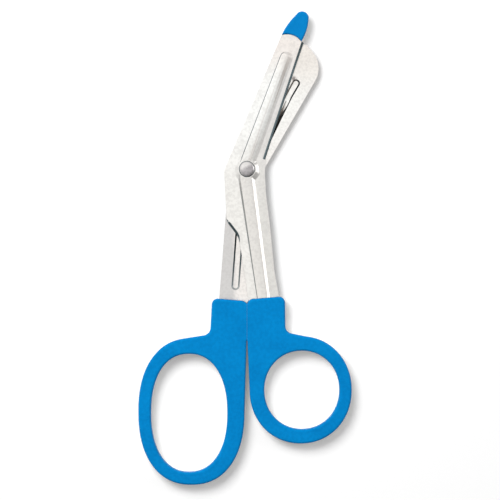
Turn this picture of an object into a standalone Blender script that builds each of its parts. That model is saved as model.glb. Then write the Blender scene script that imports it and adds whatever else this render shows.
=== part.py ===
"""Angled utility scissors: two stamped steel leaves on a rivet, two moulded handles and a tip guard.

Lengths are in metres. The origin is on the pivot's axis, in the plane that the scissors lie on. +Z points up out of
the rivet's domed head, +Y towards the blades, and the closed handles meet in the plane X = 0.
"""

import math

import bmesh
import bpy
from mathutils import Vector

MM = 0.001

# Steel sheet and the stamping in it
SHEET = 1.5 * MM
RIB_RISE = 0.7 * MM
RIB_CROWN = 0.1 * MM
RIB_STEEP = 0.3 * MM
HOLLOW_DEPTH = 0.75 * MM
HOLLOW_FLANK = 0.65 * MM
HOLLOW_WALL = 1.05 * MM
GRIND_WIDTH = 1.0 * MM
GRIND_SLOPE = 0.6
RELIEF_WIDTH = 1.05 * MM
RELIEF_SLOPE = 0.9
RELIEF_FADE = 0.06 * MM
LEAF_GAP = 0.1 * MM

# Rivet
RIVET_RADIUS = 1.95 * MM
RIVET_CLEARANCE = 0.05 * MM
HEAD_RADIUS = 3.2 * MM
HEAD_RIM = 0.45 * MM
HEAD_DOME = 0.75 * MM
HEAD_SEAT_GAP = 0.05 * MM
BOSS_RADIUS = 4.9 * MM
BOSS_FLANK = 1.6 * MM
BOSS_RISE = 0.85 * MM

# Front leaf, seen from above with the pivot at (0, 0)
FRONT_EDGE_TOP = (22.45 * MM, 49.9 * MM)
FRONT_EDGE_MIDDLE = (16.9 * MM, 33.6 * MM)
FRONT_EDGE_BEND = (9.15 * MM, 10.0 * MM)
FRONT_HEEL = (7.25 * MM, 4.0 * MM)
FRONT_THROAT = (7.05 * MM, -2.2 * MM, 12 * MM)
FRONT_SHANK_OUTER = (12.95 * MM, -53.0 * MM)
FRONT_SHANK_INNER = (1.0 * MM, -53.5 * MM)
FRONT_SHOULDER_FOOT = (-3.15 * MM, -27.2 * MM, 8 * MM)
FRONT_SHOULDER_TOP = (-8.0 * MM, -20.8 * MM, 4 * MM)
FRONT_ELBOW = (-9.1 * MM, -0.6 * MM, 6 * MM)

# Back leaf
BACK_NOSE_LEFT = (19.8 * MM, 49.25 * MM)
BACK_NOSE_TOP = (23.6 * MM, 49.25 * MM, 1.5 * MM)
BACK_NOSE_SIDE = (30.6 * MM, 41.2 * MM, 10 * MM)
BACK_THROAT = (6.0 * MM, -1.3 * MM, 5 * MM)
BACK_SHOULDER_TOP = (6.2 * MM, -19.5 * MM, 4 * MM)
BACK_SHOULDER_FOOT = (2.3 * MM, -26.0 * MM, 8 * MM)
BACK_SHANK_CORNER = (0.85 * MM, -51.6 * MM)
BACK_SHANK_INNER = (-0.6 * MM, -53.5 * MM)
BACK_SHANK_OUTER = (-11.18 * MM, -53.5 * MM)
BACK_ELBOW = (-7.6 * MM, -7.5 * MM, 10 * MM)
BACK_CROWN = (-6.8 * MM, 6.4 * MM, 5 * MM)
BACK_HEEL = (1.2 * MM, 7.6 * MM)

# Ribs: start, end, the foot's half widths there, the side of the steep flank and the width of the soft one
FRONT_RIBS = (
    ((0.15 * MM, 2.0 * MM), (15.9 * MM, 44.0 * MM), 3.1 * MM, 2.45 * MM, 1, 2.4 * MM),
    ((-0.2 * MM, -2.4 * MM), (6.9 * MM, -53.0 * MM), 2.95 * MM, 2.65 * MM, -1, 1.3 * MM),
)
BACK_RIBS = (
    ((2.2 * MM, 1.6 * MM), (19.4 * MM, 34.0 * MM), 2.7 * MM, 2.65 * MM, 1, 1.3 * MM),
    ((-1.3 * MM, -2.6 * MM), (-4.55 * MM, -46.2 * MM), 2.65 * MM, 2.65 * MM, -1, 1.3 * MM),
)
HOLLOW_SET_BACK = 3.5 * MM

# Tangs inside the handles
TANG_TOP_Y = -47.0 * MM
TANG_END_Y = -66.0 * MM
TANG_WIDTH = 8.0 * MM
TANG_SET_BACK = 0.1 * MM
TANG_END_RADIUS = 2.5 * MM
LOCK_HOLE_RADIUS = 1.5 * MM
LOCK_HOLE_FROM_END = 4.0 * MM
MOULD_GAP = 0.1 * MM

# Handles: each ring is a superellipse around its hole
HANDLE_THICKNESS = 6.4 * MM
HANDLE_EDGE = 0.9 * MM
CLOSING_GAP = 0.2 * MM
SEAM_NOTCH_WIDTH = 2.6 * MM
SEAM_NOTCH_BOTTOM_Y = -53.2 * MM
NECK_TOP_RADIUS = 2.3 * MM
NECK_ROOT_RADIUS = 3.1 * MM
SEAM_END_Y = -68.0 * MM
THUMB = {
    "side": 1,
    "neck_top_inner_y": -51.3 * MM,
    "neck_top_outer": (15.0 * MM, -50.3 * MM),
    "neck_root": (15.2 * MM, -64.6 * MM),
    "ring_centre": (21.2 * MM, -87.3 * MM),
    "ring_half": (20.2 * MM, 21.2 * MM),
    "ring_power": 2.07,
    "ring_start_deg": 84.0,
    "hole_centre": (21.7 * MM, -87.35 * MM),
    "hole_half": (14.85 * MM, 15.55 * MM),
    "hole_power": 2.06,
}
FINGER = {
    "side": -1,
    "neck_top_inner_y": -52.0 * MM,
    "neck_top_outer": (-13.8 * MM, -51.05 * MM),
    "neck_root": (-14.6 * MM, -65.4 * MM),
    "ring_centre": (-21.95 * MM, -95.85 * MM),
    "ring_half": (21.0 * MM, 28.95 * MM),
    "ring_power": 2.27,
    "ring_start_deg": 83.0,
    "hole_centre": (-22.9 * MM, -96.45 * MM),
    "hole_half": (15.1 * MM, 23.4 * MM),
    "hole_power": 2.25,
}

# Tip guard
GUARD_MOUTH_LEFT = (13.75 * MM, 53.1 * MM)
GUARD_MOUTH_MIDDLE = (16.4 * MM, 53.3 * MM)
GUARD_MOUTH_RIGHT = (21.5 * MM, 50.5 * MM)
GUARD_RIGHT_MIDDLE = (23.95 * MM, 56.4 * MM)
GUARD_TIP_RIGHT = (24.4 * MM, 60.2 * MM)
GUARD_TIP = (22.4 * MM, 62.3 * MM)
GUARD_TIP_LEFT = (19.4 * MM, 60.95 * MM)
GUARD_LEFT_MIDDLE = (16.1 * MM, 57.2 * MM)
GUARD_COVER = 1.0 * MM
GUARD_EDGE = 0.7 * MM
TONGUE_FOOT = (17.9 * MM, 51.6 * MM)
TONGUE_END_FROM_TIP = (1.2 * MM, 3.6 * MM)
TONGUE_HALF_FOOT = 2.4 * MM
TONGUE_HALF_END = 1.4 * MM
TONGUE_END = (GUARD_TIP[0] - TONGUE_END_FROM_TIP[0], GUARD_TIP[1] - TONGUE_END_FROM_TIP[1])

# Facets
ARC_STEP = math.radians(12)
ROUND_SIDES = 40
RING_POINTS = 60
GUARD_ARC_STEPS = 7
NOTCH_STEPS = 5
EDGE_STEPS = 3
FLANK_STEPS = ((0, 0), (0.2, 0.12), (0.5, 0.5), (0.8, 0.88), (1, 1))
FLANK_ROOT = 0.2
CROWN_STEPS = ((0.4, 0.75), (0.75, 1))
OVERCUT = 1 * MM
OVERLAP = 0.3 * MM

MIDDLE_Z = HANDLE_THICKNESS / 2


def clear_scene():
    for old in list(bpy.data.objects):
        bpy.data.objects.remove(old, do_unlink=True)


def material(name, colour, roughness, metallic):
    made = bpy.data.materials.new(name)
    made.use_nodes = True
    shader = made.node_tree.nodes["Principled BSDF"]
    shader.inputs["Base Color"].default_value = (*colour, 1)
    shader.inputs["Roughness"].default_value = roughness
    shader.inputs["Metallic"].default_value = metallic
    return made


def new_object(name, shape, hidden=False):
    """Makes an object of a bmesh, with its faces turned outwards."""
    bmesh.ops.recalc_face_normals(shape, faces=shape.faces)
    mesh = bpy.data.meshes.new(name)
    shape.to_mesh(mesh)
    shape.free()
    made = bpy.data.objects.new(name, mesh)
    bpy.context.scene.collection.objects.link(made)
    if hidden:
        made.hide_render = True
        made.display_type = "WIRE"
    return made


def finish(made, surface):
    made.data.materials.append(surface)
    made.data.shade_smooth()
    made.data.set_sharp_from_angle(angle=math.radians(30))


def boolean(target, other, operation):
    cut = target.modifiers.new(other.name, "BOOLEAN")
    cut.operation = operation
    cut.solver = "EXACT"
    cut.object = other


def corner_arc(before, corner, after, radius):
    """The points of a fillet of this radius between the two lines that meet at the corner."""
    corner = Vector(corner)
    to_before = (Vector(before) - corner).normalized()
    to_after = (Vector(after) - corner).normalized()
    half = to_before.angle(to_after) / 2
    bisector = (to_before + to_after).normalized()
    centre = corner + bisector * (radius / math.sin(half))
    start = corner + to_before * (radius / math.tan(half)) - centre
    turn = math.pi - 2 * half
    if to_before.cross(to_after) > 0:
        turn = -turn
    steps = max(2, math.ceil(abs(turn) / ARC_STEP))
    points = []
    for step in range(steps + 1):
        angle = turn * step / steps
        cos, sin = math.cos(angle), math.sin(angle)
        points.append((centre.x + start.x * cos - start.y * sin, centre.y + start.x * sin + start.y * cos))
    return points


def rounded(corners):
    """A closed outline through corners (x, y) or (x, y, fillet radius)."""
    points = []
    for index, corner in enumerate(corners):
        if len(corner) == 2:
            points.append(corner)
            continue
        before, after = corners[index - 1], corners[(index + 1) % len(corners)]
        points += corner_arc(before[:2], corner[:2], after[:2], corner[2])
    return points


def arc_through(first, middle, last, steps):
    """Points of the circle's arc from first through middle to last."""
    ax, ay = first
    bx, by = middle
    cx, cy = last
    d = 2 * (ax * (by - cy) + bx * (cy - ay) + cx * (ay - by))
    a2, b2, c2 = ax * ax + ay * ay, bx * bx + by * by, cx * cx + cy * cy
    centre = Vector(((a2 * (by - cy) + b2 * (cy - ay) + c2 * (ay - by)) / d,
                     (a2 * (cx - bx) + b2 * (ax - cx) + c2 * (bx - ax)) / d))
    start = Vector(first) - centre
    turn = -start.angle_signed(Vector(last) - centre)
    points = []
    for step in range(steps + 1):
        angle = turn * step / steps
        cos, sin = math.cos(angle), math.sin(angle)
        points.append((centre.x + start.x * cos - start.y * sin, centre.y + start.x * sin + start.y * cos))
    return points


def capsule(start, end, start_radius, end_radius):
    """The outline of a slot with round ends, which may taper."""
    start, end = Vector(start), Vector(end)
    along = end - start
    heading = math.atan2(along.y, along.x)
    lean = math.acos((start_radius - end_radius) / along.length)
    points = []
    for centre, radius, low, high in ((end, end_radius, -lean, lean), (start, start_radius, lean, 2 * math.pi - lean)):
        steps = math.ceil((high - low) / ARC_STEP)
        for step in range(steps + 1):
            angle = heading + low + (high - low) * step / steps
            points.append((centre.x + radius * math.cos(angle), centre.y + radius * math.sin(angle)))
    return points


def circle(radius, sides=ROUND_SIDES):
    return [(radius * math.cos(2 * math.pi * i / sides), radius * math.sin(2 * math.pi * i / sides)) for i in range(sides)]


def loft(levels):
    """A closed solid through outlines with the same number of points: levels is a list of (outline, z)."""
    shape = bmesh.new()
    rings = [[shape.verts.new((x, y, z)) for x, y in outline] for outline, z in levels]
    for low, high in zip(rings, rings[1:]):
        for i in range(len(low)):
            j = (i + 1) % len(low)
            shape.faces.new((low[i], low[j], high[j], high[i]))
    shape.faces.new(rings[0])
    shape.faces.new(rings[-1])
    return shape


def grown(outline, amount):
    """The outline moved outwards by an amount, or inwards by a negative one."""
    count = len(outline)
    area = sum(outline[i - 1][0] * outline[i][1] - outline[i][0] * outline[i - 1][1] for i in range(count))
    out = amount * math.copysign(1, area)
    points = []
    for i in range(count):
        here = Vector(outline[i])
        first = (here - Vector(outline[i - 1])).normalized()
        second = (Vector(outline[(i + 1) % count]) - here).normalized()
        first_normal = Vector((first.y, -first.x))
        second_normal = Vector((second.y, -second.x))
        mitre = (first_normal + second_normal).normalized()
        moved = here + mitre * (out / mitre.dot(second_normal))
        points.append((moved.x, moved.y))
    return points


def prism(outline, low, high):
    return loft([(outline, low), (outline, high)])


def cushion(outline, low, high, edge):
    """A slab with rounded upper and lower edges."""
    below, above = [], []
    for step in range(EDGE_STEPS + 1):
        angle = math.pi / 2 * step / EDGE_STEPS
        ring = grown(outline, -edge * (1 - math.sin(angle)))
        rise = edge * (1 - math.cos(angle))
        below.append((ring, low + rise))
        above.append((ring, high - rise))
    return loft(below + above[::-1])


def flared_hole(outline, low, high, edge):
    """The cutter of a through hole whose rims are rounded."""
    below, above = [(grown(outline, edge), low - OVERCUT)], [(grown(outline, edge), high + OVERCUT)]
    for step in range(EDGE_STEPS + 1):
        angle = math.pi / 2 * step / EDGE_STEPS
        ring = grown(outline, edge * (1 - math.sin(angle)))
        rise = edge * (1 - math.cos(angle))
        below.append((ring, low + rise))
        above.append((ring, high - rise))
    return loft(below + above[::-1])


def superellipse(centre, half, power, side, start_deg, end_deg, count):
    """Points from one angle to another, mirrored in X where side is -1."""
    points = []
    for i in range(count + 1):
        angle = math.radians(start_deg + (end_deg - start_deg) * i / count)
        cos, sin = math.cos(angle), math.sin(angle)
        x = math.copysign(abs(cos) ** (2 / power), cos)
        y = math.copysign(abs(sin) ** (2 / power), sin)
        points.append((centre[0] + side * half[0] * x, centre[1] + half[1] * y))
    return points


def handle_outline(form):
    """From the notch at the seam across the neck's top, down its outer side, round the ring and back.

    It runs past the seam by the width of the rounded edge, and the seam's flat face is cut later.
    """
    seam_x = form["side"] * CLOSING_GAP / 2
    past_x = seam_x - form["side"] * HANDLE_EDGE
    top_y = form["neck_top_inner_y"]
    notch_depth = top_y - SEAM_NOTCH_BOTTOM_Y
    notch_radius = (SEAM_NOTCH_WIDTH**2 + notch_depth**2) / (2 * notch_depth)
    notch = [(past_x, SEAM_NOTCH_BOTTOM_Y - HANDLE_EDGE)]
    for step in range(NOTCH_STEPS + 1):
        reach = SEAM_NOTCH_WIDTH * (1 - step / NOTCH_STEPS)
        drop = notch_radius - math.sqrt(notch_radius**2 - reach**2)
        notch.append((seam_x + form["side"] * (SEAM_NOTCH_WIDTH - reach), top_y - drop))
    ring = superellipse(
        form["ring_centre"], form["ring_half"], form["ring_power"], form["side"], form["ring_start_deg"], -180, RING_POINTS
    )
    return rounded(
        [
            *notch,
            (*form["neck_top_outer"], NECK_TOP_RADIUS),
            (*form["neck_root"], NECK_ROOT_RADIUS),
            *ring,
            (seam_x + form["side"] * OVERLAP / 10, SEAM_END_Y),
            (past_x, SEAM_END_Y + HANDLE_EDGE),
        ]
    )


def guard_outline():
    right = arc_through(GUARD_MOUTH_RIGHT, GUARD_RIGHT_MIDDLE, GUARD_TIP_RIGHT, GUARD_ARC_STEPS)
    tip = arc_through(GUARD_TIP_RIGHT, GUARD_TIP, GUARD_TIP_LEFT, GUARD_ARC_STEPS)
    left = arc_through(GUARD_TIP_LEFT, GUARD_LEFT_MIDDLE, GUARD_MOUTH_LEFT, GUARD_ARC_STEPS)
    mouth = arc_through(GUARD_MOUTH_LEFT, GUARD_MOUTH_MIDDLE, GUARD_MOUTH_RIGHT, GUARD_ARC_STEPS)
    return right[:-1] + tip[:-1] + left[:-1] + mouth[:-1]


def front_edge():
    return [*arc_through(FRONT_EDGE_TOP, FRONT_EDGE_MIDDLE, FRONT_EDGE_BEND, GUARD_ARC_STEPS), FRONT_HEEL]


def shoulder_edge():
    """The S-shaped step from the front shank out to the broad middle of the leaf."""
    foot = corner_arc(FRONT_SHANK_INNER, FRONT_SHOULDER_FOOT[:2], FRONT_SHOULDER_TOP[:2], FRONT_SHOULDER_FOOT[2])
    top = corner_arc(FRONT_SHOULDER_FOOT[:2], FRONT_SHOULDER_TOP[:2], FRONT_ELBOW[:2], FRONT_SHOULDER_TOP[2])
    return foot + top


def front_outline():
    return rounded(
        [
            GUARD_MOUTH_LEFT,
            TONGUE_END,
            GUARD_MOUTH_RIGHT,
            *front_edge(),
            FRONT_THROAT,
            FRONT_SHANK_OUTER,
            FRONT_SHANK_INNER,
            FRONT_SHOULDER_FOOT,
            FRONT_SHOULDER_TOP,
            FRONT_ELBOW,
        ]
    )


def back_outline():
    return rounded(
        [
            BACK_NOSE_LEFT,
            BACK_NOSE_TOP,
            BACK_NOSE_SIDE,
            BACK_THROAT,
            BACK_SHOULDER_TOP,
            BACK_SHOULDER_FOOT,
            BACK_SHANK_CORNER,
            BACK_SHANK_INNER,
            BACK_SHANK_OUTER,
            BACK_ELBOW,
            BACK_CROWN,
            BACK_HEEL,
        ]
    )


def tang_outline(shank_inner, shank_outer):
    middle = (shank_inner[0] + shank_outer[0]) / 2
    low, high = middle - TANG_WIDTH / 2, middle + TANG_WIDTH / 2
    return rounded(
        [(low, TANG_TOP_Y), (high, TANG_TOP_Y), (high, TANG_END_Y, TANG_END_RADIUS), (low, TANG_END_Y, TANG_END_RADIUS)]
    )


def lock_hole(shank_inner, shank_outer, radius):
    middle = (shank_inner[0] + shank_outer[0]) / 2
    return [(x + middle, y + TANG_END_Y + LOCK_HOLE_FROM_END) for x, y in circle(radius)]


def leaf_z(side, depth):
    """The height of a point at this depth from the leaf's inner face; side is 1 in front and -1 behind."""
    return MIDDLE_Z + side * (LEAF_GAP / 2 + depth)


def grind(edge, widths, slope, side):
    """The wedge that a bevel of these widths takes off the outer face, from a little before an edge to a little past it."""
    points = [Vector(point) for point in edge]
    points[0] += (points[0] - points[1]).normalized() * OVERLAP
    points[-1] += (points[-1] - points[-2]).normalized() * OVERLAP
    shape = bmesh.new()
    rows = []
    for i, here in enumerate(points):
        along = (points[min(i + 1, len(points) - 1)] - points[max(i - 1, 0)]).normalized()
        inward = Vector((along.y, -along.x))
        row = []
        for reach, depth in (
            (-OVERCUT, SHEET - slope * (widths[i] + OVERCUT)),
            (widths[i] + OVERCUT, SHEET + slope * OVERCUT),
            (-OVERCUT, SHEET + slope * OVERCUT),
        ):
            place = here + inward * reach
            row.append(shape.verts.new((place.x, place.y, leaf_z(side, depth))))
        rows.append(row)
    for low, high in zip(rows, rows[1:]):
        for i in range(3):
            j = (i + 1) % 3
            shape.faces.new((low[i], low[j], high[j], high[i]))
    shape.faces.new(rows[0])
    shape.faces.new(rows[-1])
    bmesh.ops.triangulate(shape, faces=shape.faces)
    return shape


def shoulder_relief():
    """The bevel on the front leaf's shoulder, which fades out at both ends of the S."""
    edge = shoulder_edge()
    count = len(edge) - 1
    widths = [RELIEF_WIDTH * math.sin(math.pi * i / count) - RELIEF_FADE for i in range(count + 1)]
    return grind(edge, widths, RELIEF_SLOPE, 1)


def between(first, second, share):
    """The outline at this share of the way between two that have the same number of points."""
    return [tuple(Vector(a).lerp(Vector(b), share)) for a, b in zip(first, second)]


def flank(foot, top, rise, side):
    """The levels of a soft S from below the outer face up to the top outline."""
    root_fall = FLANK_ROOT * FLANK_STEPS[1][1] / FLANK_STEPS[1][0]
    levels = [(between(foot, top, -FLANK_ROOT), leaf_z(side, SHEET - root_fall * rise))]
    for share, climb in FLANK_STEPS[1:]:
        levels.append((between(foot, top, share), leaf_z(side, SHEET + climb * rise)))
    return levels


def raised_rib(start, end, start_half, end_half, steep_side, soft, side):
    """A crowned rib with one steep flank and one soft flank."""
    foot = capsule(start, end, start_half, end_half)
    along = (Vector(end) - Vector(start)).normalized()
    shift = Vector((-along.y, along.x)) * steep_side * (soft - RIB_STEEP) / 2
    inset = (soft + RIB_STEEP) / 2
    top = capsule(Vector(start) + shift, Vector(end) + shift, start_half - inset, end_half - inset)
    levels = flank(foot, top, RIB_RISE, side)
    for reach, climb in CROWN_STEPS:
        crown = grown(top, -reach * (end_half - inset))
        levels.append((crown, leaf_z(side, SHEET + RIB_RISE + climb * RIB_CROWN)))
    return loft(levels)


def rib_hollow(start, end, start_half, end_half, side):
    """The hollow behind a rib, which begins clear of the rivet's hole."""
    begin = Vector(start) + (Vector(end) - Vector(start)).normalized() * HOLLOW_SET_BACK
    outline = capsule(begin, end, start_half - HOLLOW_WALL, end_half - HOLLOW_WALL)
    below = grown(outline, HOLLOW_FLANK * OVERLAP / HOLLOW_DEPTH)
    return loft([(below, leaf_z(side, -OVERLAP)), (grown(outline, -HOLLOW_FLANK), leaf_z(side, HOLLOW_DEPTH))])


def make_leaf_tools(name, ribs, side):
    """What the press raises on the outer face, and the hollows that it leaves in the inner one."""
    boss = loft(flank(circle(BOSS_RADIUS), circle(BOSS_RADIUS - BOSS_FLANK), BOSS_RISE, side))
    raised = [new_object(name + "_boss", boss, hidden=True)]
    hollows = []
    for index, (start, end, start_half, end_half, steep_side, soft) in enumerate(ribs):
        rib = raised_rib(start, end, start_half, end_half, steep_side, soft, side)
        raised.append(new_object(f"{name}_rib_{index}", rib, hidden=True))
        hollow = rib_hollow(start, end, start_half, end_half, side)
        hollows.append(new_object(f"{name}_hollow_{index}", hollow, hidden=True))
    return raised, hollows


def make_leaf(name, outline, ribs, edge, side, handle, shank, surface):
    """A stamped leaf: pressed ribs and boss, a ground edge, shoulders at its handle, a tang and the rivet's hole."""
    leaf = new_object(name, prism(outline, leaf_z(side, 0), leaf_z(side, SHEET)))
    bevel = grind(edge, [GRIND_WIDTH] * len(edge), GRIND_SLOPE, side)
    boolean(leaf, new_object(name + "_grind", bevel, hidden=True), "DIFFERENCE")
    raised, hollows = make_leaf_tools(name, ribs, side)
    for rib in raised:
        boolean(leaf, rib, "UNION")
    for hollow in hollows:
        boolean(leaf, hollow, "DIFFERENCE")
    neck = prism(grown(handle_outline(handle), MOULD_GAP), -OVERCUT, HANDLE_THICKNESS + OVERCUT)
    boolean(leaf, new_object(name + "_shoulders", neck, hidden=True), "DIFFERENCE")
    tang = prism(tang_outline(*shank), leaf_z(side, TANG_SET_BACK), leaf_z(side, SHEET - TANG_SET_BACK))
    boolean(leaf, new_object(name + "_tang", tang, hidden=True), "UNION")
    lock = prism(lock_hole(*shank, LOCK_HOLE_RADIUS), -OVERCUT, HANDLE_THICKNESS + OVERCUT)
    boolean(leaf, new_object(name + "_lock_hole", lock, hidden=True), "DIFFERENCE")
    bore = prism(circle(RIVET_RADIUS + RIVET_CLEARANCE), -OVERCUT, HANDLE_THICKNESS + OVERCUT)
    boolean(leaf, new_object(name + "_bore", bore, hidden=True), "DIFFERENCE")
    finish(leaf, surface)
    return leaf


def make_front_leaf(surface):
    shank = (FRONT_SHANK_INNER, FRONT_SHANK_OUTER)
    leaf = make_leaf("front_leaf", front_outline(), FRONT_RIBS, front_edge(), 1, THUMB, shank, surface)
    boolean(leaf, new_object("front_leaf_relief", shoulder_relief(), hidden=True), "DIFFERENCE")
    guard = prism(grown(guard_outline(), MOULD_GAP), leaf_z(1, -OVERCUT), leaf_z(1, SHEET + OVERCUT))
    boolean(leaf, new_object("front_leaf_guard_seat", guard, hidden=True), "DIFFERENCE")
    tongue = capsule(TONGUE_FOOT, TONGUE_END, TONGUE_HALF_FOOT, TONGUE_HALF_END)
    tongue = prism(tongue, leaf_z(1, TANG_SET_BACK), leaf_z(1, SHEET - TANG_SET_BACK))
    boolean(leaf, new_object("front_leaf_tongue", tongue, hidden=True), "UNION")
    return leaf


def make_back_leaf(surface):
    shank = (BACK_SHANK_INNER, BACK_SHANK_OUTER)
    edge = [BACK_HEEL, BACK_NOSE_LEFT]
    return make_leaf("back_leaf", back_outline(), BACK_RIBS, edge, -1, FINGER, shank, surface)


def make_rivet(surface):
    """Flat head behind, shaft through both leaves, rimmed low dome in front."""
    rear_seat = leaf_z(-1, SHEET + BOSS_RISE) - HEAD_SEAT_GAP
    front_seat = leaf_z(1, SHEET + BOSS_RISE) + HEAD_SEAT_GAP
    rim_top = front_seat + HEAD_RIM
    chamfer = rear_seat / 3
    levels = [
        (circle(HEAD_RADIUS - chamfer), 0),
        (circle(HEAD_RADIUS), chamfer),
        (circle(HEAD_RADIUS), rear_seat),
        (circle(RIVET_RADIUS), rear_seat),
        (circle(RIVET_RADIUS), front_seat),
        (circle(HEAD_RADIUS), front_seat),
        (circle(HEAD_RADIUS), rim_top),
    ]
    for step in range(1, EDGE_STEPS + 2):
        angle = math.pi / 2 * step / (EDGE_STEPS + 2)
        levels.append((circle(HEAD_RADIUS * math.cos(angle)), rim_top + HEAD_DOME * math.sin(angle)))
    rivet = new_object("pivot_rivet", loft(levels))
    finish(rivet, surface)
    return rivet


def make_handle(name, form, side, shank, surface):
    """A ring handle moulded round its tang, with a post through the tang's hole."""
    handle = new_object(name, cushion(handle_outline(form), 0, HANDLE_THICKNESS, HANDLE_EDGE))
    hole = superellipse(
        form["hole_centre"], form["hole_half"], form["hole_power"], form["side"], 0, 360 - 360 / RING_POINTS, RING_POINTS - 1
    )
    seam_x = form["side"] * CLOSING_GAP / 2
    past_x = seam_x - form["side"] * 2 * HANDLE_EDGE
    low_y, high_y = SEAM_END_Y - OVERCUT, SEAM_NOTCH_BOTTOM_Y + OVERCUT
    seam = [(seam_x, low_y), (seam_x, high_y), (past_x, high_y), (past_x, low_y)]
    seam_cut = prism(seam, -OVERCUT, HANDLE_THICKNESS + OVERCUT)
    boolean(handle, new_object(name + "_seam", seam_cut, hidden=True), "DIFFERENCE")
    ring_hole = flared_hole(hole, 0, HANDLE_THICKNESS, HANDLE_EDGE)
    boolean(handle, new_object(name + "_hole", ring_hole, hidden=True), "DIFFERENCE")
    low, high = sorted(
        (leaf_z(side, TANG_SET_BACK - MOULD_GAP), leaf_z(side, SHEET - TANG_SET_BACK + MOULD_GAP))
    )
    pocket = new_object(name + "_pocket", prism(grown(tang_outline(*shank), MOULD_GAP), low, high), hidden=True)
    post = prism(lock_hole(*shank, LOCK_HOLE_RADIUS - MOULD_GAP), low - OVERCUT, high + OVERCUT)
    boolean(pocket, new_object(name + "_post", post, hidden=True), "DIFFERENCE")
    boolean(handle, pocket, "DIFFERENCE")
    finish(handle, surface)
    return handle


def make_guard(surface):
    """The moulded cap that closes over the tongue at the front blade's tip."""
    guard = new_object(
        "tip_guard", cushion(guard_outline(), leaf_z(1, -GUARD_COVER), leaf_z(1, SHEET + GUARD_COVER), GUARD_EDGE)
    )
    tongue = capsule(TONGUE_FOOT, TONGUE_END, TONGUE_HALF_FOOT + MOULD_GAP, TONGUE_HALF_END + MOULD_GAP)
    pocket = prism(tongue, leaf_z(1, TANG_SET_BACK - MOULD_GAP), leaf_z(1, SHEET - TANG_SET_BACK + MOULD_GAP))
    boolean(guard, new_object("tip_guard_pocket", pocket, hidden=True), "DIFFERENCE")
    finish(guard, surface)
    return guard


def main():
    clear_scene()
    steel = material("satin steel", (0.62, 0.61, 0.59), 0.32, 1.0)
    rivet_steel = material("rivet steel", (0.42, 0.41, 0.41), 0.38, 1.0)
    thumb_plastic = material("thumb handle plastic", (0.0, 0.24, 0.63), 0.42, 0.0)
    finger_plastic = material("finger handle plastic", (0.0, 0.24, 0.63), 0.42, 0.0)
    guard_plastic = material("tip guard plastic", (0.0, 0.23, 0.6), 0.38, 0.0)

    pivot = bpy.data.objects.new("pivot", None)
    bpy.context.scene.collection.objects.link(pivot)

    make_back_leaf(steel)
    make_rivet(rivet_steel)
    make_handle("finger_handle", FINGER, -1, (BACK_SHANK_INNER, BACK_SHANK_OUTER), finger_plastic)
    moving = [
        make_front_leaf(steel),
        make_handle("thumb_handle", THUMB, 1, (FRONT_SHANK_INNER, FRONT_SHANK_OUTER), thumb_plastic),
        make_guard(guard_plastic),
    ]
    for piece in moving:
        piece.parent = pivot


main()
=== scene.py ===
# %% [markdown]
# # Angled utility scissors
#
# A pair of shears for dressings and clothing: two stamped steel leaves, a rivet, two blue moulded
# handles and a blunt blue guard on the tip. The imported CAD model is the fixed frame. Everything here
# is placed by it, in metres, and moves with its two bodies.

# %% The frame
import math

import bpy
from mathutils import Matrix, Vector


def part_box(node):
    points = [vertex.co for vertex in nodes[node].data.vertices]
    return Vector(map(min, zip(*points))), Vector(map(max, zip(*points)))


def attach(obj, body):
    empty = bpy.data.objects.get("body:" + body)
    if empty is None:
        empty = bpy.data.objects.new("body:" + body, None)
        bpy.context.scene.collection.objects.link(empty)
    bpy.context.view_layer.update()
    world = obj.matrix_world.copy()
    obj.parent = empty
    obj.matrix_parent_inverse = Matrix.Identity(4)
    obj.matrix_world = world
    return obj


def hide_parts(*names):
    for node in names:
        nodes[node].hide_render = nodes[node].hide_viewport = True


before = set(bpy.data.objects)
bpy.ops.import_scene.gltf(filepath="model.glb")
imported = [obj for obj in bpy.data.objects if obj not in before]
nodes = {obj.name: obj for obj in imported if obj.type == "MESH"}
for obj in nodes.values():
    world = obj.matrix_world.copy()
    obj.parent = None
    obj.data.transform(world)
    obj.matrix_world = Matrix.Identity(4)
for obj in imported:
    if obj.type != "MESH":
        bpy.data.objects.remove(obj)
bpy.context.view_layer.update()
MM = 0.001

# %% [markdown]
# ## Sums between sockets
#
# A finish is a network of nodes, and most of its nodes are plain sums. Wrapping a socket in a small
# class lets the sum be written as one, so that `1 - mask * 0.3` adds its own Math nodes.


# %% Sockets that add and multiply
class Flow:
    """The output of a node, which can stand in a sum."""

    def __init__(self, network, socket):
        self.network = network
        self.socket = socket

    def __add__(self, other):
        return self.network.maths("ADD", self, other)

    def __radd__(self, other):
        return self.network.maths("ADD", other, self)

    def __rsub__(self, other):
        return self.network.maths("SUBTRACT", other, self)

    def __mul__(self, other):
        return self.network.maths("MULTIPLY", self, other)

    def __rmul__(self, other):
        return self.network.maths("MULTIPLY", other, self)

    def ramp(self, low, high):
        """0 below low, 1 above high and a smooth climb between them."""
        return self.network.node(
            "MapRange",
            {"interpolation_type": "SMOOTHSTEP"},
            {"Value": self, "From Min": low, "From Max": high},
        )


# %% [markdown]
# One method adds any node: its settings first, then the values or links of its sockets. The room's
# light is a network too, so the method stands in a class of its own, and a finish is a network with a
# Principled shader. What is the same all over a piece is set on the shader's own socket.


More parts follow.
